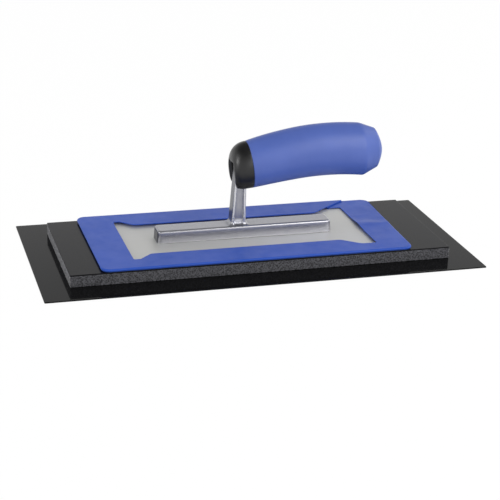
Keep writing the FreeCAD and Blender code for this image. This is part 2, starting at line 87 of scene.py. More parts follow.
# %% Skin a stack of loops
def skin(loops, ring=False):
    """Vertices and faces of a closed skin over loops, an array (loops, points, 3) in millimetres."""
    rows, count = loops.shape[:2]
    index = np.arange(rows * count).reshape(rows, count)
    near = index if ring else index[:-1]
    far = np.roll(index, -1, axis=0) if ring else index[1:]
    quads = np.stack([near, np.roll(near, -1, axis=1), np.roll(far, -1, axis=1), far], axis=-1)
    faces = quads.reshape(-1, 4).tolist()
    if not ring:
        faces += [index[0].tolist(), index[-1].tolist()]
    return loops.reshape(-1, 3), faces


# %% [markdown]
# The faces are turned outwards, and only crisp edges stay sharp. Each piece rides on its body and
# hides the CAD nodes that it stands for. The trowel has no moving part, so its one body is the root.

# %% Make a piece
def in_scene(name, data):
    """New object of a mesh, a lamp or a camera, linked to the scene."""
    made = bpy.data.objects.new(name, data)
    bpy.context.scene.collection.objects.link(made)
    return made


def mesh_object(name, vertices, faces):
    """Object from vertices, an array (points, 3), with its faces turned outwards."""
    mesh = bpy.data.meshes.new(name)
    mesh.from_pydata(vertices.tolist(), [], faces)
    shell = bmesh.new()
    shell.from_mesh(mesh)
    bmesh.ops.recalc_face_normals(shell, faces=shell.faces[:])
    shell.to_mesh(mesh)
    shell.free()
    return in_scene(name, mesh)


def make_piece(name, shells, stands_for, sharp_degrees=40.0):
    """One piece from (vertices, faces) shells in millimetres, riding on the root body."""
    vertices, faces, start = [], [], 0
    for points, polygons in shells:
        vertices.append(points)
        faces += [[start + i for i in polygon] for polygon in polygons]
        start += len(points)
    piece = mesh_object(name, np.concatenate(vertices) * MM, faces)
    piece.data.shade_smooth()
    piece.data.set_sharp_from_angle(angle=math.radians(sharp_degrees))
    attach(piece, "root")
    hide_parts(*stands_for)
    print(f"{name}: {len(piece.data.vertices)} vertices, {len(piece.data.polygons)} faces")
    return piece


# %% [markdown]
# ## The blade and the sheet on the foam
#
# Both are cut from flat plastic sheet with a slightly broken edge. A plain box has edges that catch
# no light, so each is a rounded rectangle whose rim is carried round by two quarter circles. A loop
# just inside the rim keeps the flat faces shading flat.

# %% Rounded sheets
SMALLEST_ARC = 0.02


def rounded_rectangle(low, high, radius, inset, corner_points=9):
    """Loop of points round a rectangle with corner arcs, moved inwards by inset, anticlockwise."""
    turn = np.linspace(0, math.pi / 2, corner_points)
    middle = (low + high) / 2
    arc_radius = max(radius - inset, SMALLEST_ARC)
    half = (high - low) / 2 - inset - arc_radius
    quarters = []
    for quarter, side in enumerate(((1, 1), (-1, 1), (-1, -1), (1, -1))):
        angle = turn + quarter * math.pi / 2
        centre = middle + half * np.array(side)
        quarters.append(centre + arc_radius * np.stack([np.cos(angle), np.sin(angle)], axis=-1))
    return np.concatenate(quarters)


def sheet_loops(low, high, corner_radius, edge_radius, edge_points=5):
    """Loops from the top face over a rim of two quarter circles to the bottom face."""
    turn = np.linspace(0, math.pi / 2, edge_points)
    insets = np.concatenate([[2 * edge_radius], edge_radius * (1 - np.sin(turn))])
    drops = np.concatenate([[0], edge_radius * (1 - np.cos(turn))])
    levels = np.concatenate([high[2] - drops, (low[2] + drops)[::-1]])
    insets = np.concatenate([insets, insets[::-1]])
    return np.array([with_height(rounded_rectangle(low[:2], high[:2], corner_radius, inset), z)
                     for inset, z in zip(insets, levels)])


# %% The two sheets
BLADE_CORNER, BLADE_EDGE = 1.2, 0.3
BACKING_CORNER, BACKING_EDGE = 0.8, 0.25

blade_loops = sheet_loops(*span("smoothing_blade"), BLADE_CORNER, BLADE_EDGE)
blade = make_piece("smoothing_blade_sheet", [skin(blade_loops)], ["smoothing_blade"])
backing_loops = sheet_loops(*span("pad_backing_sheet"), BACKING_CORNER, BACKING_EDGE)
backing = make_piece("pad_backing_sheet_cut", [skin(backing_loops)], ["pad_backing_sheet"])

# %% [markdown]
# ## The foam pad
#
# The pad is sawn from a block of soft cellular rubber, so its four edges show cut-open cells. Cells
# that are only painted on a smooth box would look printed. Here the side walls are a fine grid whose
# points sink in by up to 0.3 mm, by seeded noise, smoothed so that neighbours belong to one cell.

# %% Noise for the cut cells
FOAM_GRID = 0.62
FOAM_PIT, FOAM_PIT_SHARPNESS = 0.28, 1.5
FOAM_SEED = 11
FOAM_CLEARANCE = 0.02
TAIL_PERCENT = 4


def cell_noise(rows, count, seed):
    """Seeded noise from 0 to 1, each point averaged with its neighbours; it runs round with no seam."""
    noise = np.random.default_rng(seed).random((rows, count))
    blurred = (2 * noise + np.roll(noise, 1, axis=1) + np.roll(noise, -1, axis=1)) / 4
    blurred[1:-1] = (2 * blurred[1:-1] + blurred[:-2] + blurred[2:]) / 4
    low, high = np.percentile(blurred, (TAIL_PERCENT, 100 - TAIL_PERCENT))
    return np.clip((blurred - low) / (high - low), 0, 1)


# %% [markdown]
# The walls are one grid that runs round the pad. A ring of points just inside each rim closes it with
# a flat face.

# %% Foam with cut cells
RIM_SHARE = 0.99


def foam_walls(low, high):
    """Loops from the top rim to the bottom rim: a rectangle carried down, each point moved inwards."""
    size = high - low
    across, deep = [np.linspace(0, 1, int(round(length / FOAM_GRID)) + 1)[:-1] for length in size[:2]]
    zero, one = np.zeros_like, np.ones_like
    path = np.concatenate([np.column_stack([one(deep), deep]), np.column_stack([1 - across, one(across)]),
                           np.column_stack([zero(deep), 1 - deep]), np.column_stack([across, zero(across)])])
    inwards = np.repeat([[-1, 0], [0, -1], [1, 0], [0, 1]],
                        [len(deep), len(across), len(deep), len(across)], axis=0)
    rows = int(round(size[2] / FOAM_GRID)) + 1
    levels = np.linspace(high[2], low[2], rows)
    pits = FOAM_PIT * cell_noise(rows, len(path), FOAM_SEED) ** FOAM_PIT_SHARPNESS
    plan = low[:2] + path * size[:2]
    sunk = plan[None] + inwards[None] * (pits[..., None] + FOAM_CLEARANCE)
    return with_height(sunk, levels[:, None])


foam_low, foam_high = span("foam_pad")
foam_middle = (foam_low + foam_high)[:2] / 2
walls = foam_walls(foam_low, foam_high)
rim = (walls[:1, :, :2] - foam_middle) * RIM_SHARE + foam_middle
foam_loops = np.concatenate([with_height(rim, foam_high[2]), walls, with_height(rim, foam_low[2])])
foam = make_piece("foam_pad_cut", [skin(foam_loops)], ["foam_pad"], sharp_degrees=60)

# %% [markdown]
# ## The soft sleeve of the grip
#
# The grip is moulded in two shots: a hard black core with a soft blue sleeve over it. Its sections
# are upright ovals, and its middle line rises a little from the nose joint and then falls, so that
# it fills the palm. The sleeve could be lofted from a few rings by hand, but its line is known as a
# formula, so it is computed: an oval for each distance along the axis.

# %% The grip's middle line
TILT, END_TILT = math.radians(8.0), math.radians(5.0)
AXIS = np.array([math.cos(TILT), 0, math.sin(TILT)])
RISE = np.array([-math.sin(TILT), 0, math.cos(TILT)])
SIDE = np.array([0, 1, 0])
JOINT = np.array([0.6, 0, 73.75])
GRIP_LENGTH = 98.4
END_TAPER = 13.0
GRIP_END = GRIP_LENGTH + END_TAPER
ARCH_RISE, ARCH_PEAK, GRIP_END_FALL, END_FALL = 1.85, 40.0, 5.6, 1.15


def arch(s):
    """Height of the middle line over the tilted axis: one parabola up to the peak, another down."""
    rising = ARCH_RISE * (1 - ((ARCH_PEAK - s) / ARCH_PEAK) ** 2)
    falling = ARCH_RISE - (ARCH_RISE + GRIP_END_FALL) * ((s - ARCH_PEAK) / (GRIP_LENGTH - ARCH_PEAK)) ** 2
    ending = -GRIP_END_FALL - END_FALL * (s - GRIP_LENGTH) / END_TAPER
    return np.where(s <= 0, 0, np.where(s <= ARCH_PEAK, rising, np.where(s <= GRIP_LENGTH, falling, ending)))


def middle_line(s):
    """Points on the middle line at distances s along the tilted axis."""
    s = np.asarray(s, float)
    return JOINT + s[..., None] * AXIS + arch(s)[..., None] * RISE


print("grip: from", JOINT.tolist(), "to", middle_line(GRIP_END).round(1).tolist())

# %% [markdown]
# The ovals stand across the axis at the joint and lean less towards the end. They swell behind the
# joint and then grow only a little, which keeps the hand from sliding.

# %% Ovals along the line
JOINT_HALF_HEIGHT, HEIGHT_SWELL, HEIGHT_GROWTH = 20.25, 1.75, 0.95
JOINT_HALF_WIDTH, WIDTH_SWELL = 16.6, 1.0
SWELL_LENGTH = 24.0


def section_rise(s):
    """Unit vectors up along the sections at s: they lean less and less towards the grip's end."""
    lean = TILT + (END_TILT - TILT) * np.clip(s, 0, GRIP_LENGTH) / GRIP_LENGTH
    return np.stack([-np.sin(lean), np.zeros_like(lean), np.cos(lean)], axis=-1)


def half_sizes(s):
    """Half height and half width of the outer oval: both swell from the joint and settle."""
    swell = 1 - np.exp(-np.clip(s, 0, None) / SWELL_LENGTH)
    body = np.clip(s, 0, GRIP_LENGTH)
    half_height = JOINT_HALF_HEIGHT + HEIGHT_SWELL * swell + HEIGHT_GROWTH * body / GRIP_LENGTH
    return half_height, JOINT_HALF_WIDTH + WIDTH_SWELL * swell


def ovals(centres, half_heights, half_widths, rises=RISE, points=192):
    """Loops of points round upright ovals: centre + rise cos + side sin, from the top round."""
    turn = np.linspace(0, 2 * math.pi, points, endpoint=False)
    rises = np.broadcast_to(rises, centres.shape)
    up = half_heights[:, None, None] * np.cos(turn)[None, :, None] * rises[:, None, :]
    out = half_widths[:, None, None] * np.sin(turn)[None, :, None] * SIDE
    return centres[:, None, :] + up + out


# %% [markdown]
# Moulded pieces have an arc at every corner. One helper finds such an arc, and another runs through
# a whole profile. A bevel modifier could round the finished mesh, but it pinches at blunt corners.

# %% Profiles with rounded corners
def corner_arc(before, corner, after, radius, count=9):
    """Points along the arc of a radius that rounds a corner between its two neighbouring corners.

    The arc starts and ends at a distance of radius / tan(half the angle) from the corner.
    """
    before, corner, after = (np.array(point[:2], float) for point in (before, corner, after))
    back = (before - corner) / np.linalg.norm(before - corner)
    ahead = (after - corner) / np.linalg.norm(after - corner)
    half = math.acos(np.clip(back @ ahead, -1, 1)) / 2
    reach = radius / math.tan(half)
    start, end = corner + back * reach, corner + ahead * reach
    centre = corner + (back + ahead) / np.linalg.norm(back + ahead) * (radius / math.sin(half))
    first = math.atan2(*(start - centre)[::-1])
    sweep = (math.atan2(*(end - centre)[::-1]) - first + math.pi) % (2 * math.pi) - math.pi
    angles = first + sweep * np.linspace(0, 1, count)
    return centre + radius * np.stack([np.cos(angles), np.sin(angles)], axis=-1)


def rounded_profile(corners, step=1.0):
    """Run through (x, y, radius) corners, each an arc of its radius, in pieces of about the step."""
    arcs = [corner_arc(*corners[i - 1:i + 2], corners[i][2]) for i in range(1, len(corners) - 1)]
    run = np.concatenate([[corners[0][:2]], *arcs, [corners[-1][:2]]])
    pieces = []
    for start, end in zip(run[:-1], run[1:]):
        count = max(1, int(np.ceil(np.linalg.norm(end - start) / step)))
        pieces.append(start + (end - start) * np.linspace(0, 1, count, endpoint=False)[:, None])
    return np.concatenate(pieces + [run[-1:]])


# %% [markdown]
# The sleeve's wall is a closed ring in section: along the outside, over the domed end into the hole
# for the plug, and back along the inside. The hole is round and lies on the axis of a screw, from
# the stem's head to the middle of the end, so the loops change from ovals to circles on that axis.

# %% From ovals to the round hole
WALL = 3.0
HOLE_RADIUS = 6.5
END_HALF_HEIGHT, END_HALF_WIDTH = 17.3, 12.4
FULL_HALF_HEIGHT, FULL_HALF_WIDTH = (float(size) for size in half_sizes(GRIP_LENGTH))
TAPER_DEPTH = FULL_HALF_HEIGHT - END_HALF_HEIGHT
HOLE_DEPTH = FULL_HALF_HEIGHT - HOLE_RADIUS
END_OUTWARDS = np.array([math.cos(END_TILT), 0, math.sin(END_TILT)])
TANG_START = np.array([-6.8, 0, 72.6])
SCREW = middle_line(GRIP_END) - TANG_START
SCREW_REACH = float(np.linalg.norm(SCREW))
SCREW = SCREW / SCREW_REACH


def screw_line(t):
    """Points on the screw's axis, t from the head of the stem."""
    return TANG_START + np.asarray(t, float)[..., None] * SCREW


def screw_distance(point):
    """Distance along the screw's axis to the section that a point lies in."""
    return (point - TANG_START) @ AXIS / (SCREW @ AXIS)


def sleeve_loops(profile):
    """Loops for a profile of (distance along, depth under the outer oval).

    The half height is the outer one less the depth. The half width shrinks a little less, so that the
    deepest loops are round, and there the centre moves from the middle line to the screw's axis. Past
    the end of the taper the middle line goes on at right angles to the last section, into the dome.
    """
    s, depth = profile.T
    high, wide = half_sizes(s)
    wide_depth = np.interp(depth, [0, TAPER_DEPTH, HOLE_DEPTH],
                           [0, FULL_HALF_WIDTH - END_HALF_WIDTH, FULL_HALF_WIDTH - HOLE_RADIUS])
    beyond = np.clip(s - GRIP_END, 0, None)[:, None]
    on_middle = middle_line(np.minimum(s, GRIP_END)) + beyond * END_OUTWARDS
    on_screw = screw_line(screw_distance(on_middle))
    share = np.clip((depth - TAPER_DEPTH) / (HOLE_DEPTH - TAPER_DEPTH), 0, 1)[:, None] ** 2
    centres = on_middle * (1 - share) + on_screw * share
    return ovals(centres, high - depth, wide - wide_depth, section_rise(s))


print("screw axis:", round(SCREW_REACH, 1), "mm long")

# %% [markdown]
# The end is a shallow dome, a parabola over the rim, that sits softly in the palm. Each corner of
# the profile is (distance along, depth, radius of its arc).

# %% The sleeve
CORE_END = 103.9
END_BULGE = 5.0
DOME_STEPS = 12
JOINT_EDGE, SHOULDER_RADIUS, RIM_RADIUS = 0.7, 7.0, 1.0
INNER_EDGE, HOLE_EDGE = 0.3, 0.4


def dome_height(share):
    """Height of the end's dome over its rim, at a share of the rim's size: a parabola."""
    return END_BULGE * (1 - share ** 2)


dome_shares = np.linspace(1, HOLE_RADIUS / END_HALF_HEIGHT, DOME_STEPS)
dome_corners = [(GRIP_END + dome_height(share), FULL_HALF_HEIGHT - END_HALF_HEIGHT * share, INNER_EDGE)
                for share in dome_shares[1:-1]]
hole_top = GRIP_END + dome_height(HOLE_RADIUS / END_HALF_HEIGHT)
sleeve_profile = rounded_profile(
    [(0.0, WALL, 0), (0.0, 0.0, JOINT_EDGE), (GRIP_LENGTH, 0.0, SHOULDER_RADIUS),
     (GRIP_END, TAPER_DEPTH, RIM_RADIUS)] + dome_corners
    + [(hole_top, HOLE_DEPTH, HOLE_EDGE), (CORE_END, HOLE_DEPTH, INNER_EDGE), (CORE_END, WALL, HOLE_EDGE),
       (0.0, WALL, 0)])
sleeve = make_piece("grip_sleeve_moulded", [skin(sleeve_loops(sleeve_profile[:-1]), ring=True)],
                    ["grip_sleeve"], sharp_degrees=50)

# %% [markdown]
# ## The core and its nose
#
# The hard core runs inside the sleeve and comes out in front as the black nose, with a slot in which
# the stem stands. The nose's top falls away early while its underside stays level and turns up
# sharply, so each outline is a superellipse of its own, 1 at the joint and a chosen share at the
# tip. A scaled sphere would be quicker, but would give both the same curve.

# %% The nose's outline
NOSE_LENGTH = 15.4
NOSE_HALF_HEIGHT, NOSE_HALF_WIDTH = (float(size) for size in half_sizes(0.0))
TIP_ABOVE, ROUND_ABOVE = 0.15, 2.3
TIP_BELOW, ROUND_BELOW = 0.72, 3.0
TIP_WIDE, ROUND_WIDE = 0.54, 2.3
NOSE_STEPS = 64


def dome(share, tip_share, roundness):
    """Superellipse from 1 at the joint (share 0) down to tip_share at the tip (share 1)."""
    return tip_share + (1 - tip_share) * (1 - share ** roundness) ** (1 / roundness)


def nose_loops():
    """Ovals from the joint to the tip; the middle of each lies between its top and its underside."""
    share = np.sin(np.linspace(0, math.pi / 2, NOSE_STEPS))
    above = NOSE_HALF_HEIGHT * dome(share, TIP_ABOVE, ROUND_ABOVE)
    below = NOSE_HALF_HEIGHT * dome(share, TIP_BELOW, ROUND_BELOW)
    wide = NOSE_HALF_WIDTH * dome(share, TIP_WIDE, ROUND_WIDE)
    centres = JOINT + ((above - below) / 2)[:, None] * RISE - (NOSE_LENGTH * share)[:, None] * AXIS
    return ovals(centres, (above + below) / 2, wide)


# %% [markdown]
# Two shapes are cut out of the nose: the slot for the stem, open below and in front, and the hole
# for the tang, which goes on from the slot into the core.

# %% The two shapes to cut
SLOT_HALF_WIDTH, SLOT_FLARE, SLOT_PAST_NOSE = 6.1, 1.8, 20
STEM_RIGHT, STEM_HEAD_WIDTH, STEM_TOP = -2.3, 9.0, 77.6
STEM_CLEARANCE, ROOF_CLEARANCE = 1.1, 0.6
TANG_HOLE = np.array([4.5, 5.2])
HOLE_PAST_JOINT, HOLE_CUT_LENGTH = 2.0, 5.0


def prism(outline, start, along):
    """Closed skin of a flat outline, an array (points, 3), carried from start along a vector."""
    return skin(np.array([outline + start, outline + start + along]))


slot_right = (np.array([STEM_RIGHT, 0, STEM_TOP]) - JOINT) @ AXIS + STEM_CLEARANCE
slot_roof = (np.array([STEM_RIGHT - STEM_HEAD_WIDTH, 0, STEM_TOP]) - JOINT) @ RISE + ROOF_CLEARANCE
slot_throat = SLOT_FLARE - NOSE_LENGTH
slot_mouth = slot_throat - SLOT_FLARE - SLOT_PAST_NOSE
slot_wide = SLOT_HALF_WIDTH + SLOT_FLARE + SLOT_PAST_NOSE
slot_plan = [(slot_mouth, -slot_wide), (slot_throat, -SLOT_HALF_WIDTH), (slot_right, -SLOT_HALF_WIDTH),
             (slot_right, SLOT_HALF_WIDTH), (slot_throat, SLOT_HALF_WIDTH), (slot_mouth, slot_wide)]
slot_outline = np.array([s * AXIS + y * SIDE for s, y in slot_plan])
slot_start = JOINT - 2 * NOSE_HALF_HEIGHT * RISE
slot = prism(slot_outline, slot_start, (2 * NOSE_HALF_HEIGHT + slot_roof) * RISE)

hole_outline = np.array([y * TANG_HOLE[0] * SIDE + h * TANG_HOLE[1] * RISE
                         for y, h in ((-1, -1), (1, -1), (1, 1), (-1, 1))])
hole_start = screw_line(screw_distance(JOINT)) + HOLE_PAST_JOINT * AXIS
hole = prism(hole_outline, hole_start, -HOLE_CUT_LENGTH * AXIS)
print("slot:", round(float(slot_right - slot_throat), 1), "mm long")

# %% [markdown]
# After the Boolean cuts, a fine remesh puts an even grid over the shape, and smoothing rounds all of
# its edges at once, as a mould does. Bevels would have to be set edge by edge.

# %% Cut the nose and soften it
NOSE_VOXEL, NOSE_SMOOTHING = 0.34, 7


def remeshed(rough, voxel_mm, smoothing_steps):
    """Shell of an object in millimetres after a fine remesh and some smoothing."""
    remesh = rough.modifiers.new("even grid", "REMESH")
    remesh.mode, remesh.voxel_size = "VOXEL", voxel_mm
    soften = rough.modifiers.new("soft edges", "SMOOTH")
    soften.factor, soften.iterations = 0.5, smoothing_steps
    finished = bpy.data.meshes.new_from_object(rough.evaluated_get(bpy.context.evaluated_depsgraph_get()))
    points = np.empty(len(finished.vertices) * 3)
    finished.vertices.foreach_get("co", points)
    return points.reshape(-1, 3), [list(polygon.vertices) for polygon in finished.polygons]


nose_shape = mesh_object("nose_shape", *skin(nose_loops()))
cutters = [mesh_object("slot_cutter", *slot), mesh_object("tang_cutter", *hole)]
for cutter in cutters:
    cut = nose_shape.modifiers.new("cut", "BOOLEAN")
    cut.operation, cut.solver, cut.object = "DIFFERENCE", "EXACT", cutter
nose_shell = remeshed(nose_shape, NOSE_VOXEL, NOSE_SMOOTHING)
for scratch in [nose_shape, *cutters]:
    bpy.data.objects.remove(scratch)
print("nose:", len(nose_shell[0]), "points")

# %% [markdown]
# The rest of the core is one more ring-shaped skin: along the outside, in to the screw's seat, along
# its bore, and back through the square hole for the tang.

# %% The core inside the sleeve
SCREW_SEAT, TANG_REACH, BORE_RADIUS = 84.0, 66.2, 2.9
TANG_HOLE_END = np.array([3.7, 3.95])
CORE_STEPS = 60


def squared(loops):
    """Turn ovals into rectangles with the same half sizes: each point moves out to the larger axis."""
    centres = loops.mean(axis=1, keepdims=True)
    turn = np.linspace(0, 2 * math.pi, loops.shape[1], endpoint=False)
    stretch = 1 / np.maximum(np.abs(np.cos(turn)), np.abs(np.sin(turn)))
    return centres + (loops - centres) * stretch[None, :, None]


core_along = np.linspace(0, CORE_END, CORE_STEPS)
core_outside = sleeve_loops(np.column_stack([core_along, np.full(CORE_STEPS, WALL)]))
bore_ends = np.array([screw_distance(JOINT + CORE_END * AXIS), SCREW_SEAT, SCREW_SEAT, TANG_REACH])
bore_radii = np.array([HOLE_RADIUS, HOLE_RADIUS, BORE_RADIUS, BORE_RADIUS])
core_bores = ovals(screw_line(bore_ends), bore_radii, bore_radii)
tang_sizes = np.array([TANG_HOLE_END, TANG_HOLE])
square_hole = squared(ovals(screw_line(np.array([TANG_REACH, screw_distance(JOINT)])),
                            tang_sizes[:, 1], tang_sizes[:, 0]))
core_shell = skin(np.concatenate([core_outside, core_bores, square_hole]), ring=True)
core = make_piece("handle_core_and_nose", [nose_shell, core_shell], ["handle_core"],
                  sharp_degrees=50)

# %% [markdown]
# The plug closes the hole over the screw. It is a turned shape: a profile carried round the screw's
# axis.

# %% The plug in the grip's end
PLUG_LENGTH, PLUG_RADIUS, PLUG_SUNK = 7.0, 6.4, 0.3
DISH_RIM, DISH_FLOOR, DISH_DEPTH = 4.4, 4.0, 0.5
PLUG_MIDDLE = 0.4

plug_face = SCREW_REACH + float(dome_height(HOLE_RADIUS / END_HALF_WIDTH)) - PLUG_SUNK
plug_back, dish_face = plug_face - PLUG_LENGTH, plug_face - DISH_DEPTH
plug_t, plug_radii = rounded_profile(
    [(plug_back, PLUG_MIDDLE, 0), (plug_back, PLUG_RADIUS, 0.4), (plug_face, PLUG_RADIUS, 0.7),
     (plug_face, DISH_RIM, 0.5), (dish_face, DISH_FLOOR, 0.4), (dish_face, PLUG_MIDDLE, 0)]).T
plug_loops = ovals(screw_line(plug_t), plug_radii, plug_radii, points=64)
plug = make_piece("handle_end_plug_pressed", [skin(plug_loops)], ["handle_end_plug"],
                  sharp_degrees=50)

# %% [markdown]
# ## The carrier
#
# The blue carrier is moulded with rounded edges. Its right end is a springy strip that is cut free
# of the back rail by a mitred slit and hangs a little lower. A bevel on the CAD mesh would pinch at
# the slit, so the surface is computed: every column joins a point of the window's outline to one of
# the outer outline, and one section is carried over all columns.
#
# The window's corners are (x, y, radius), and its far half is the mirror image of its near half.

# %% Corners of the outlines
CARRIER_HALF = 63.3
WINDOW_RIGHT = 100.55
NEAR_CORNERS = [(-105.95, -44.7, 1.8), (-100.45, -44.7, 1.8), (-89.95, -34.7, 4.5), (72.55, -34.7, 9.0),
                (87.55, -46.8, 9.0), (WINDOW_RIGHT, -46.8, 1.8)]
WINDOW = NEAR_CORNERS + [(x, -y, radius) for x, y, radius in NEAR_CORNERS[::-1]]
OUTSIDE = {0: (-134.95, -CARRIER_HALF), 5: (127.2, -CARRIER_HALF), 6: (131.9, CARRIER_HALF),
           11: (-134.95, CARRIER_HALF)}
OUTER_CORNER_RADIUS = 7.0
RAMP_BASE_HALF, RAMP_TIP_HALF = 19.0, 7.5
RAMP_CORNER = 6
RAMP_LINES = [((WINDOW_RIGHT, side * RAMP_BASE_HALF), (tip_x, side * RAMP_TIP_HALF))
              for side, tip_x in ((-1, 129.27), (0, 129.55), (1, 129.83))]
print("window corners:", len(WINDOW))

# %% [markdown]
# The slit starts in the arc of one of the window's corners and needs six columns close together. So
# that arc is first drawn very finely, and its columns are picked at chosen places.

# %% Columns at the slit and between the corners
SLIT_CORNER, SLIT_ARC_POINTS = 7, 400
SLIT_INNER_X, SLIT_OUTER_X = 88.88, 107.35
SLIT_STEPS = np.array([1.8, 1.55, 1.35, 0.2, 0.0, -0.45])
AFTER_SLIT_X, AFTER_SLIT_COLUMNS = 87.8, 6
COLUMN_STEP = 2.5


def slit_bend(arc):
    """The bend at the slit: columns at chosen places on its arc, all parallel to the slit."""
    after = np.linspace(AFTER_SLIT_X, arc[-1, 0], AFTER_SLIT_COLUMNS)
    x = np.concatenate([[arc[0, 0]], SLIT_INNER_X + SLIT_STEPS, after])
    inner = np.column_stack([x, np.interp(-x, -arc[:, 0], arc[:, 1])])
    outer = np.column_stack([x - SLIT_INNER_X + SLIT_OUTER_X, np.full(len(x), CARRIER_HALF)])
    return np.stack([inner, outer], axis=1)


def straight(start, end):
    """Pairs of points inside a straight run between two pairs, without the ends."""
    count = int(np.linalg.norm(end - start, axis=1).min() / COLUMN_STEP)
    share = np.linspace(0, 1, count + 2)[1:-1, None, None]
    return start + (end - start) * share


# %% [markdown]
# Each of the window's corners makes a bend, four of them opposite the carrier's own corners. The run
# before the far corner of the end strip also stops at the lines of the thumb ramp.

# %% Pairs of points
def bend_at(i):
    """Pairs of points round one of the window's corners."""
    before, corner, after = WINDOW[i - 1], WINDOW[i], WINDOW[(i + 1) % len(WINDOW)]
    if i == SLIT_CORNER:
        return slit_bend(corner_arc(before, corner, after, corner[2], SLIT_ARC_POINTS))
    near = corner_arc(before, corner, after, corner[2])
    if i in OUTSIDE:
        keys = sorted(OUTSIDE)
        k = keys.index(i)
        far = corner_arc(OUTSIDE[keys[k - 1]], OUTSIDE[i], OUTSIDE[keys[(k + 1) % len(keys)]],
                         OUTER_CORNER_RADIUS)
    else:
        far = np.column_stack([near[:, 0], np.full(len(near), math.copysign(CARRIER_HALF, corner[1]))])
    return np.stack([near, far], axis=1)


pairs = [bend_at(0)]
for i in range(1, len(WINDOW)):
    bend = bend_at(i)
    if i == RAMP_CORNER:
        for line in np.array(RAMP_LINES):
            pairs += [straight(pairs[-1][-1], line), line[None]]
    pairs += [straight(pairs[-1][-1], bend[0]), bend]
pairs.append(straight(pairs[-1][-1], pairs[0][0]))
pairs = np.concatenate(pairs)
inner, outer = pairs[:, 0], pairs[:, 1]
print("carrier columns:", len(pairs))

# %% [markdown]
# The top is level on the rails. On the end strip it falls towards the back, where the strip is free,
# and a thumb ramp rises from the window's edge like a low tent. Two of the slit's columns lie at the
# bottom of the slit.

# %% Levels of the top
TOP, POCKET_ROOF, CARRIER_BOTTOM = 14.2, 11.9, 11.4
STRIP_SLOPE, STRIP_FROM_X, STRIP_FROM_Y = 0.01212, 100.0, -49.7
STRIP_BEND_X, STRIP_BEND_Y = (90.73, 98.75), -46.8
RAMP_HEIGHT, RAMP_FALL, RAMP_LENGTH, RAMP_HOLLOW = 1.3, 0.95, 27.9, 1.6
SLIT_INNER_Y, SLIT_DEPTH, SLIT_LIP = 46.7, 1.1, 0.12


def column_at(x, y):
    """Number of the column that starts nearest to a place on the window's outline."""
    return int(np.argmin(np.linalg.norm(inner - (x, y), axis=1)))


order = np.arange(len(pairs))
slit_at = column_at(SLIT_INNER_X, SLIT_INNER_Y)
strip_from, strip_to = (column_at(x, STRIP_BEND_Y) for x in STRIP_BEND_X)
lowered = np.clip((order - strip_from) / (strip_to - strip_from), 0, 1) * (order < slit_at)
slit_depth = np.zeros(len(pairs))
slit_depth[[slit_at - 2, slit_at - 1]] = SLIT_DEPTH
slit_depth[slit_at] = SLIT_LIP


def top_level(place):
    """Height of the top at places, an array (columns, samples, 2).

    It is the level top, less the end strip's fall and the slit's depth, plus the ramp: a height that
    falls along the ramp, times a power of the share of the way from its foot to its ridge.
    """
    x, y = place[..., 0], place[..., 1]
    fall = STRIP_SLOPE * np.clip(y - STRIP_FROM_Y, 0, None)
    progress = np.clip((x - WINDOW_RIGHT) / RAMP_LENGTH, 0, 1)
    half_width = RAMP_BASE_HALF - (RAMP_BASE_HALF - RAMP_TIP_HALF) * progress
    ramp = (RAMP_HEIGHT - RAMP_FALL * progress) * np.clip(1 - np.abs(y) / half_width, 0, None) ** RAMP_HOLLOW
    return TOP - fall * lowered[:, None] + ramp * (x > STRIP_FROM_X) - slit_depth[:, None]


print("slit at column", slit_at, "and the end strip from column", strip_from)

# %% [markdown]
# The section goes up from the plate's pocket, over the window's edge, across the top and down the
# outer wall, which turns under at the bottom. Along the window the rail is a lip with a hollow
# beneath it, which keeps a dark line between rail and plate.

# %% Helpers for the section
ROOF_GAP = 0.02


def outwards_of(loop):
    """Unit vectors at right angles to a closed anticlockwise loop, pointing out of it."""
    along = np.roll(loop, -1, axis=0) - np.roll(loop, 1, axis=0)
    along /= np.linalg.norm(along, axis=1, keepdims=True)
    return np.column_stack([along[:, 1], -along[:, 0]])


def rounded_edge(loop, direction, radius, quarter):
    """Points over a rounded edge: moved from the outline along a direction, and dropped from the top."""
    moved = loop[:, None] + direction[:, None] * (radius * (1 - np.sin(quarter)))[None, :, None]
    height = top_level(np.repeat(loop[:, None], len(quarter), axis=1)) - radius * (1 - np.cos(quarter))
    return with_height(moved, height)


def column_points(plan, z):
    """One point for each column, as an array (columns, 1, 3)."""
    return with_height(plan, z)[:, None]


def under_top(depth):
    """Heights a depth under the window's edge, but not below the pocket's roof."""
    return np.maximum(top_level(inner[:, None])[:, 0] - depth, POCKET_ROOF + ROOF_GAP)


# %% [markdown]
# The pocket's wall is where each column leaves the pocket's rectangle. The top is sampled from edge
# to edge, because the ramp and the strip's slope lie between them.

# %% The carrier's section
POCKET_CENTRE, POCKET_HALF = np.array([-2.7, 0.0]), np.array([114.4, 53.4])
SMALLEST_RUN = 0.1
WINDOW_EDGE, OUTER_EDGE = 0.35, 1.1
WINDOW_SUPPORT, OUTER_SUPPORT, TOP_SAMPLES = 0.8, 1.7, 14
LIP_ROOT = 4.2
LIP_HOLLOW = [(3.8, 0.75), (0.45, 0.7), (0.1, 0.55)]
FOOT_INSET, FOOT_HEIGHT, FOOT_START = 2.1, 1.7, 0.15

into, away = outwards_of(inner), outwards_of(outer)
quarter = np.linspace(0, math.pi / 2, 6)
shares = np.linspace(0, 1, TOP_SAMPLES)[None, :, None]
across_top = ((inner + into * WINDOW_SUPPORT)[:, None] * (1 - shares)
              + (outer - away * OUTER_SUPPORT)[:, None] * shares)
across_top = with_height(across_top, top_level(across_top))

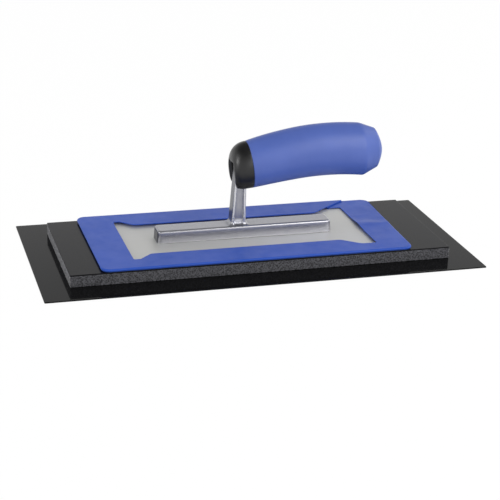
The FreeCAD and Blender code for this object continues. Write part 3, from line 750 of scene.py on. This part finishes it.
to_wall = POCKET_HALF - np.abs(inner - POCKET_CENTRE)
whole_run = np.abs(outer - POCKET_CENTRE) - np.abs(inner - POCKET_CENTRE)
wall_shares = np.where(whole_run > SMALLEST_RUN, to_wall / np.maximum(whole_run, SMALLEST_RUN), 1.0)
pocket = inner + (outer - inner) * np.min(wall_shares, axis=1)[:, None]

hollow = [column_points(inner + into * distance, under_top(depth)) for distance, depth in LIP_HOLLOW]
turned_under = [column_points(outer - away * FOOT_INSET * (1 - math.cos(turn)),
                              CARRIER_BOTTOM + FOOT_HEIGHT * (1 - math.sin(turn)))
                for turn in np.linspace(FOOT_START, math.pi / 2, 6)]
section = np.concatenate([
    column_points(inner + into * LIP_ROOT, POCKET_ROOF), *hollow,
    rounded_edge(inner, into, WINDOW_EDGE, quarter[::-1]), across_top,
    rounded_edge(outer, -away, OUTER_EDGE, quarter), *turned_under,
    column_points(pocket, CARRIER_BOTTOM), column_points(pocket, POCKET_ROOF)], axis=1)
carrier = make_piece("carrier_frame_moulded", [skin(section.transpose(1, 0, 2), ring=True)],
                     ["carrier_frame"], sharp_degrees=35)

# %% [markdown]
# ## The shank
#
# The shank is one casting. Its form is all in the CAD model, but with edges as sharp as a drawing's.
# Modelled again, it would be a little different. So a copy is merged, remeshed and smoothed like the
# nose, which gives its edges the small radius that tumbling leaves.

# %% The shank's casting
MERGE_DISTANCE = 0.002
CASTING_VOXEL, CASTING_SMOOTHING = 0.4, 5

casting_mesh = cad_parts["shank_casting"].data.copy()
welded = bmesh.new()
welded.from_mesh(casting_mesh)
bmesh.ops.remove_doubles(welded, verts=welded.verts[:], dist=MERGE_DISTANCE * MM)
welded.to_mesh(casting_mesh)
welded.free()
casting_mesh.transform(Matrix.Scale(1 / MM, 4))
rough_casting = in_scene("rough_casting", casting_mesh)
casting_shell = remeshed(rough_casting, CASTING_VOXEL, CASTING_SMOOTHING)
bpy.data.objects.remove(rough_casting)
casting = make_piece("shank_casting_tumbled", [casting_shell], ["shank_casting"],
                     sharp_degrees=50)

# %% [markdown]
# ## Materials
#
# Each finish starts from the real material: its colour, how shiny it is, and how its surface was
# made. A picture could be wrapped round each piece, but nodes stay sharp at any distance, and
# patterns in Object coordinates have a scale in real millimetres. Brush lines and the skin that a
# mould leaves are too fine to show, so they are drawn about half a millimetre wide.
#
# One function adds every node. A Mix node has several sockets of the same name, so they go by their
# numbers: 0 is the share of the second colour, 6 and 7 are the colours, and output 2 is the mix.

# %% Add a node
def add(tree, kind, inputs=None, **settings):
    """Add one node: settings are its properties, inputs are values, sRGB hexes or sockets to link."""
    node = tree.nodes.new(kind)
    for name, value in settings.items():
        setattr(node, name, value)
    for key, value in (inputs or {}).items():
        if isinstance(value, bpy.types.NodeSocket):
            tree.links.new(value, node.inputs[key])
        else:
            node.inputs[key].default_value = linear(value) if isinstance(value, str) else value
    return node


# %% [markdown]
# A finish is a new material whose shader gets a colour, a roughness and a relief. They come from noise
# of a given size, since no real surface is even all over, and handling rubs the edges.

# %% Start a finish and coat it
def finish(name, **values):
    """New material, its node tree and its shader; values are the shader's own sockets, by name."""
    material = bpy.data.materials.new(name)
    material.use_nodes = True
    tree = material.node_tree
    shader = tree.nodes["Principled BSDF"]
    for key, value in values.items():
        shader.inputs[key.replace("_", " ")].default_value = value
    print("finish:", name)
    return material, tree, shader


def coat(tree, shader, colour, roughness=None, relief=None, depth_mm=0.0):
    """Link a colour, a roughness if it varies, and a relief: a bump by heights from 0 to 1 of a depth."""
    tree.links.new(colour, shader.inputs["Base Color"])
    if roughness is not None:
        tree.links.new(roughness, shader.inputs["Roughness"])
    if relief is not None:
        bump = add(tree, "ShaderNodeBump", {"Height": relief, "Distance": depth_mm * MM})
        tree.links.new(bump.outputs["Normal"], shader.inputs["Normal"])


# %% Grain, drift and wear
def grain(tree, size_mm, stretch=(1, 1, 1), detail=3.0):
    """Noise from 0 to 1 whose features are about size_mm, stretched along the axes."""
    place = add(tree, "ShaderNodeTexCoord").outputs["Object"]
    scaled = add(tree, "ShaderNodeMapping", {"Vector": place, "Scale": tuple(1 / s for s in stretch)})
    return add(tree, "ShaderNodeTexNoise", {"Vector": scaled.outputs["Vector"], "Scale": 1 / MM / size_mm,
                                            "Detail": detail}).outputs["Fac"]


def drift(tree, size_mm, low, high):
    """Number from low to high in soft patches: the middle of the grain's range, spread between them."""
    return add(tree, "ShaderNodeMapRange", {"Value": grain(tree, size_mm), "From Min": 0.3, "From Max": 0.7,
                                            "To Min": low, "To Max": high}).outputs["Result"]


def edge_mask(tree, radius_mm):
    """1 on edges, 0 on flat faces: how far a normal rounded over the radius leaves the true one.

    The two normals' dot product is 1 on a flat face; the mask starts at 0.98 and is full at 0.75. Worn edges
    use it; on the casting it also places a painted highlight.
    """
    soft = add(tree, "ShaderNodeBevel", {"Radius": radius_mm * MM}, samples=4)
    true = add(tree, "ShaderNodeNewGeometry").outputs["Normal"]
    match = add(tree, "ShaderNodeVectorMath", {0: soft.outputs["Normal"], 1: true}, operation="DOT_PRODUCT")
    return add(tree, "ShaderNodeMapRange", {"Value": match.outputs["Value"], "From Min": 0.98,
                                            "From Max": 0.75}).outputs["Result"]


# %% Worn and dappled colours
def worn(tree, radius_mm, colour, rubbed_and_highlit):
    """Colour that goes over to a second one on worn edges, by the share of the edge mask."""
    return add(tree, "ShaderNodeMix", {0: edge_mask(tree, radius_mm), 6: colour, 7: rubbed_and_highlit},
               data_type="RGBA").outputs[2]


def dappled(tree, size_mm, first, second):
    """Colour that wanders between two in patches of a size, by the share of the grain."""
    return add(tree, "ShaderNodeMix", {0: grain(tree, size_mm), 6: first, 7: second},
               data_type="RGBA").outputs[2]


# %% [markdown]
# The blade is glossy black sheet. A plain gloss would look like glass, so its roughness follows fine
# streaks along the tool, the hairline rubs of smoothing.

# %% The blade's finish
blade_black, tree, shader = finish("extruded_black_sheet", Specular_IOR_Level=0.086)
rubs = grain(tree, 1.2, stretch=(30, 1, 1))
gloss = add(tree, "ShaderNodeMapRange", {"Value": rubs, "From Min": 0.3, "From Max": 0.75,
                                         "To Min": 0.05, "To Max": 0.13})
coat(tree, shader, worn(tree, 0.4, "0f0f10", "242427"), gloss.outputs["Result"], rubs, 0.008)

# %% [markdown]
# The foam has open cells about a millimetre wide, dark inside and dusty grey on the walls. Voronoi
# cells alone look regular, so noise breaks them up. The two short ends are painted paler than the
# long sides: a painted highlight for the light that falls on the ends.

# %% The foam's finish
CELL_SIZE = 1.1
FOAM_END, LIT_END_BLEND = 160.2, 0.5

foam_grey, tree, shader = finish("sawn_cellular_rubber", Roughness=0.95, Specular_IOR_Level=0.2)
place = add(tree, "ShaderNodeTexCoord").outputs["Object"]
cells = add(tree, "ShaderNodeTexVoronoi", {"Vector": place, "Scale": 1 / MM / CELL_SIZE}).outputs["Distance"]
cell_walls = add(tree, "ShaderNodeMath", {0: cells, 1: grain(tree, 1.3, detail=4.0)},
                 operation="MULTIPLY").outputs["Value"]
wall_share = add(tree, "ShaderNodeMapRange", {"Value": cell_walls, "From Min": 0.08, "From Max": 0.34})
along = add(tree, "ShaderNodeSeparateXYZ", {"Vector": place}).outputs["X"]
from_middle = add(tree, "ShaderNodeMath", {0: along}, operation="ABSOLUTE").outputs["Value"]
# Painted highlight: a mask of the pad's two short ends, where the paler greys go.
painted_lit_ends = add(tree, "ShaderNodeMapRange", {"Value": from_middle, "From Min": (FOAM_END - LIT_END_BLEND) * MM,
                                             "From Max": FOAM_END * MM})
# The first pair of greys is for the long sides; the second, paler pair is the painted highlight on the ends.
sawn, cut = [add(tree, "ShaderNodeMix", {0: wall_share.outputs["Result"], 6: inside, 7: wall},
                 data_type="RGBA") for inside, wall in (("29292b", "5a5a5e"), ("3a3a3c", "8e8e91"))]
grey = add(tree, "ShaderNodeMix", {0: painted_lit_ends.outputs["Result"], 6: sawn.outputs[2], 7: cut.outputs[2]},
           data_type="RGBA")
coat(tree, shader, grey.outputs[2], relief=cell_walls, depth_mm=0.35)

# %% [markdown]
# The sheet on the foam comes off a calender, a stack of rollers, and has a very fine grain from
# them. It could share the blade's finish, but is duller.

# %% The backing sheet's finish
backing_black, tree, shader = finish("calendered_backing_sheet", Specular_IOR_Level=0.08)
coat(tree, shader, worn(tree, 0.3, "151517", "343436"), drift(tree, 14, 0.16, 0.2),
     grain(tree, 0.5), 0.006)

# %% [markdown]
# The carrier is moulded ABS: a soft gloss, slight flow clouds in the colour, and corners polished by
# handling. The sleeve is a softer rubber with a satin skin from the mould. One blue for both would
# be simpler, but they would then look like one material.

# %% The two blues
carrier_blue, tree, shader = finish("moulded_blue_abs", Specular_IOR_Level=0.15)
clouds = add(tree, "ShaderNodeMix", {0: drift(tree, 30, 0, 1), 6: "2a4da7", 7: "3052af"}, data_type="RGBA")
coat(tree, shader, worn(tree, 0.5, clouds.outputs[2], "465fb6"), drift(tree, 9, 0.28, 0.4),
     grain(tree, 0.45), 0.012)

grip_blue, tree, shader = finish("moulded_soft_blue_rubber", Specular_IOR_Level=0.5)
clouds = add(tree, "ShaderNodeMix", {0: drift(tree, 26, 0, 1), 6: "435aa3", 7: "4960ab"}, data_type="RGBA")
coat(tree, shader, worn(tree, 0.6, clouds.outputs[2], "6f7cb8"), drift(tree, 7, 0.38, 0.48),
     grain(tree, 0.5), 0.02)

# %% [markdown]
# The core is polypropylene, satin black from a spark-eroded mould. The plug is pressed rubber, duller
# and a little greyer. The adhesive film is only seen as a thin grey line.

# %% The handle's blacks and the film
core_black, tree, shader = finish("moulded_black_polypropylene", Specular_IOR_Level=0.55)
coat(tree, shader, worn(tree, 0.6, "09090a", "262628"), drift(tree, 6, 0.3, 0.42),
     grain(tree, 0.5), 0.025)

plug_black, tree, shader = finish("pressed_black_rubber")
dull = add(tree, "ShaderNodeMapRange", {"Value": grain(tree, 2), "To Min": 0.6, "To Max": 0.75})
coat(tree, shader, dappled(tree, 3, "131314", "1f1f20"), dull.outputs["Result"], grain(tree, 0.4), 0.02)

film_grey, tree, shader = finish("acrylic_adhesive_film", Roughness=0.6)
coat(tree, shader, dappled(tree, 2, "161617", "242425"))

# %% [markdown]
# The plate is cold-rolled steel sheet, brushed along its length. One stretched noise drives its
# colour, roughness and bump, because on real steel they all come from the same scratches.

# %% Brushed steel
steel, tree, shader = finish("brushed_steel_sheet", Metallic=0.85)
lines = grain(tree, 0.5, stretch=(60, 1, 1))
pale = add(tree, "ShaderNodeMix", {0: lines, 6: "dadad8", 7: "e8e8e6"}, data_type="RGBA")
streaks = add(tree, "ShaderNodeMapRange", {"Value": lines, "From Min": 0.3, "From Max": 0.7,
                                           "To Min": 0.48, "To Max": 0.6})
coat(tree, shader, pale.outputs[2], streaks.outputs["Result"], lines, 0.004)

# %% [markdown]
# The shank is die-cast aluminium, tumbled in a drum, which rubs its edges bright. Its colour also holds
# painted light. Edges and the stem's narrow rims that face front or back get a painted highlight.
# Faces that look left or right get painted shade. In the hollow between the rims, the web gets painted
# shade and the faces that look left or right get a painted highlight. Colours could be given to selected
# faces. Here, rays say where a point lies: few free rays outside mean a hollow, few inside mean a
# thin rim. The normal says which way it looks.

# %% Masks for the casting
THIN_RIM, HOLLOW = 2.5, 7.0

aluminium, tree, shader = finish("tumbled_cast_aluminium", Metallic=0.78)
facing = add(tree, "ShaderNodeSeparateXYZ", {"Vector": add(tree, "ShaderNodeTexCoord").outputs["Normal"]})
along, across = [add(tree, "ShaderNodeMath", {0: facing.outputs[axis]}, operation="ABSOLUTE").outputs[0]
                 for axis in ("X", "Y")]
inside, outside = [add(tree, "ShaderNodeAmbientOcclusion", {"Distance": reach * MM}, samples=8,
                       inside=within, only_local=True).outputs["AO"]
                   for reach, within in ((THIN_RIM, True), (HOLLOW, False))]
side, upright, thick, reached = [
    add(tree, "ShaderNodeMapRange", {"Value": value, "From Min": start, "From Max": end}).outputs["Result"]
    for value, start, end in ((along, 0.6, 0.9), (across, 0.5, 0.8), (inside, 0.3, 0.75),
                              (outside, 0.6, 0.94))]
thin = add(tree, "ShaderNodeMath", {0: 1.0, 1: thick}, operation="SUBTRACT").outputs[0]
# Painted highlight: thin rims that face front or back are painted bright.
rim_highlight = add(tree, "ShaderNodeMath", {0: thin, 1: upright}, operation="MULTIPLY").outputs[0]
# Bright edges are partly the wear of tumbling and partly a painted highlight.
rubbed_and_highlit = add(tree, "ShaderNodeMath", {0: edge_mask(tree, 2.2), 1: rim_highlight}, operation="MAXIMUM").outputs[0]

# %% Cast aluminium
clouds = dappled(tree, 3, "9c9ca2", "a8a8ae")
# Painted shade: faces that look left or right are painted dark grey.
sides_shaded = add(tree, "ShaderNodeMix", {0: side, 6: clouds, 7: "4c4e56"}, data_type="RGBA")
casting_with_highlights = add(tree, "ShaderNodeMix", {0: rubbed_and_highlit, 6: sides_shaded.outputs[2], 7: "f0f0f2"}, data_type="RGBA")
# Painted light in the hollows: the web is painted darker as shade, and faces that look left or right are
# painted pale as a highlight.
painted_hollow_light = add(tree, "ShaderNodeMix", {0: side, 6: "777984", 7: "dcdce2"}, data_type="RGBA")
casting_with_painted_light = add(tree, "ShaderNodeMix", {0: reached, 6: painted_hollow_light.outputs[2], 7: casting_with_highlights.outputs[2]},
                  data_type="RGBA")
coat(tree, shader, casting_with_painted_light.outputs[2], drift(tree, 2.5, 0.16, 0.24), grain(tree, 9, detail=1.0), 0.006)

# %% [markdown]
# The screw, its washer and the rivets are zinc-plated steel, pale and faintly cloudy. They hardly
# show in the finished tool, but are real pieces.

# %% Zinc plating
zinc, tree, shader = finish("zinc_plated_steel", Metallic=1.0)
cloudy = add(tree, "ShaderNodeMapRange", {"Value": grain(tree, 1.5), "To Min": 0.25, "To Max": 0.4})
coat(tree, shader, dappled(tree, 2, "b4b6b8", "cfd0d0"), cloudy.outputs["Result"], grain(tree, 0.6), 0.004)

# %% [markdown]
# The finishes go on the new pieces, and on the CAD nodes that are shown as they are, in all of their
# material slots.

# %% Put the materials on
FINISHES = {
    blade_black: [blade], foam_grey: [foam], backing_black: [backing], grip_blue: [sleeve],
    core_black: [core], plug_black: [plug], carrier_blue: [carrier], steel: ["steel_plate"],
    aluminium: [casting], zinc: ["plate_rivets", "screw_washer", "handle_screw"],
    film_grey: ["blade_adhesive_film", "carrier_adhesive_film"],
}
for material, pieces in FINISHES.items():
    for piece in pieces:
        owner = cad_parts[piece] if isinstance(piece, str) else piece
        if not owner.material_slots:
            owner.data.materials.append(material)
        for place in owner.material_slots:
            place.material = material
print("materials:", [material.name for material in FINISHES])

# %% [markdown]
# ## Floor, light and camera
#
# The tool stands on a plain white floor. The camera and mirrors see floor and background as plain
# white, while the lamps and a weaker sky light the object. A little of the floor is lit in the
# ordinary way, so that it keeps a faint shadow.

# %% Floor
FLOOR_SIZE, FLOOR_LEVEL = 6.0, -0.0005
FLOOR_GLOW = 0.97


def seen_directly(tree):
    """1 for what the camera sees, straight, mirrored or through glass; 0 for soft light."""
    path = add(tree, "ShaderNodeLightPath")
    seen = path.outputs["Is Camera Ray"]
    for other in ("Is Glossy Ray", "Is Transmission Ray"):
        seen = add(tree, "ShaderNodeMath", {0: seen, 1: path.outputs[other]}, operation="MAXIMUM").outputs[0]
    return seen


corners = FLOOR_SIZE / 2 * np.array([(-1, -1), (1, -1), (1, 1), (-1, 1)])
floor = mesh_object("studio_floor", with_height(corners, FLOOR_LEVEL), [(0, 1, 2, 3)])
paper, tree, shader = finish("white_paper", Base_Color=linear("fbfbfb"), Roughness=0.9,
                             Specular_IOR_Level=0.0)
white = add(tree, "ShaderNodeEmission", {"Strength": 1.0})
share = add(tree, "ShaderNodeMath", {0: seen_directly(tree), 1: FLOOR_GLOW}, operation="MULTIPLY")
mixed = add(tree, "ShaderNodeMixShader", {0: share.outputs["Value"], 1: shader.outputs["BSDF"],
                                          2: white.outputs["Emission"]})
tree.links.new(mixed.outputs["Shader"], tree.nodes["Material Output"].inputs["Surface"])
floor.data.materials.append(paper)

# %% [markdown]
# The sky's soft light comes from all round. Polished metal needs something darker to mirror, so
# overhead the studio has a grey ceiling for reflections. The backdrop stays plain white.

# %% Sky
SKY_STRENGTH = 0.72
CEILING_START, CEILING_END, CEILING_STRENGTH = 0.25, 0.75, 0.22

world = bpy.data.worlds.new("studio")
bpy.context.scene.world = world
world.use_nodes = True
tree = world.node_tree
background = tree.nodes["Background"]
background.inputs["Color"].default_value = (1, 1, 1, 1)
direction = add(tree, "ShaderNodeTexCoord").outputs["Generated"]
height = add(tree, "ShaderNodeSeparateXYZ", {"Vector": direction}).outputs["Z"]
seen_sky = add(tree, "ShaderNodeMapRange", {"Value": height, "From Min": CEILING_START,
                                            "From Max": CEILING_END, "To Min": 1.0,
                                            "To Max": CEILING_STRENGTH}).outputs["Result"]
strength = add(tree, "ShaderNodeMix", {0: seen_directly(tree), 2: SKY_STRENGTH, 3: seen_sky},
               data_type="FLOAT")
tree.links.new(strength.outputs[0], background.inputs["Strength"])
print("sky:", SKY_STRENGTH)

# %% [markdown]
# Four softboxes shape the object: the strongest in front on the right, a small one on the left for
# the ends of the pieces, a low one in front for the front edges, and one for the grip's end. Bare
# lamps would cast hard shadows.

# %% Softboxes
LAMP_DISTANCE = 1.5
SOFTBOXES = [("front_right", 36, 30, 0.8, 8.0), ("left", -80, 18, 0.5, 5.5),
             ("front_low", 15, 7, 0.8, 1.8), ("right", 100, 25, 0.8, 4.0)]


def seen_from(azimuth, elevation):
    """Unit vector from the tool towards an azimuth and an elevation in degrees."""
    turn, rise = math.radians(azimuth), math.radians(elevation)
    return Vector((math.sin(turn) * math.cos(rise), -math.cos(turn) * math.cos(rise), math.sin(rise)))


for name, azimuth, elevation, metres, watts in SOFTBOXES:
    lamp = bpy.data.lights.new(name, "AREA")
    lamp.shape, lamp.size, lamp.energy = "SQUARE", metres, watts
    outwards = seen_from(azimuth, elevation)
    turned = outwards.to_track_quat("Z", "Y")
    in_scene(name, lamp).matrix_world = Matrix.LocRotScale(outwards * LAMP_DISTANCE, turned, None)
print("softboxes:", len(SOFTBOXES))

# %% [markdown]
# The camera looks a little from the left and about twenty degrees down, through a long lens, which
# keeps the blade's long edges nearly parallel. A Track To constraint could aim it, but without the
# small roll.

# %% Camera
AZIMUTH, ELEVATION, ROLL = -16.56, 20.94, math.radians(1.81)
DISTANCE = 1.2075
LOOK_AT = Vector((0.004, 0.0, -0.0031))
LENS_MM, SENSOR_MM = 101.82, 36.0

back = seen_from(AZIMUTH, ELEVATION)
right = Vector((0, 0, 1)).cross(back).normalized()
up = back.cross(right)
turned_right = right * math.cos(ROLL) + up * math.sin(ROLL)
turned_up = up * math.cos(ROLL) - right * math.sin(ROLL)
camera_data = bpy.data.cameras.new("camera")
camera_data.lens, camera_data.sensor_width = LENS_MM, SENSOR_MM
camera = in_scene("camera", camera_data)
camera.matrix_world = Matrix((turned_right, turned_up, back)).transposed().to_4x4()
camera.location = LOOK_AT + back * DISTANCE
bpy.context.scene.camera = camera
bpy.context.scene.view_settings.view_transform = "Standard"
print("camera at", [round(value, 3) for value in camera.location])
